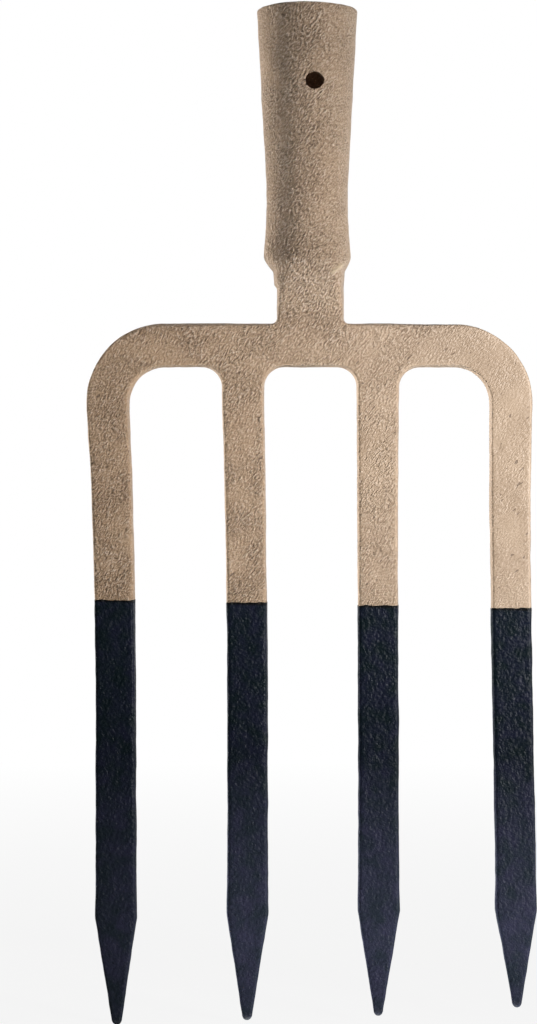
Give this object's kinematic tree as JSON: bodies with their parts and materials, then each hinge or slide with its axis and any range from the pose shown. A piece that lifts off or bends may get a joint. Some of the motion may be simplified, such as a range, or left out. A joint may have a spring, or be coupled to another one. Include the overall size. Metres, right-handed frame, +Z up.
{
  "type": "garden fork head",
  "caption": "Forged digging fork head with flat pointed tines on a round-shouldered bar and a tapered socket for a wooden handle; bronze lacquer above, dark dipped paint below.",
  "frame": {"origin": "centre of the socket's mouth", "axes": "+Z up out of the socket along its axis, -Y out of the front face, +X to the right as seen from the front; the tines point down -Z"},
  "size_m": [0.1945, 0.043, 0.4351],
  "materials": {
    "bronze_lacquer": "satin tan-bronze lacquer over hammered forged steel",
    "dipped_paint": "satin blue-black paint, dipped over rough forged steel"
  },
  "bodies": {
    "root": {"socket": "bronze_lacquer", "neck": "bronze_lacquer", "crossbar": "bronze_lacquer", "outer_tine_left": "bronze_lacquer", "inner_tine_left": "bronze_lacquer", "inner_tine_right": "bronze_lacquer", "outer_tine_right": "bronze_lacquer", "dip_coat_outer_left": "dipped_paint", "dip_coat_inner_left": "dipped_paint", "dip_coat_inner_right": "dipped_paint", "dip_coat_outer_right": "dipped_paint"}
  },
  "joints": []
}
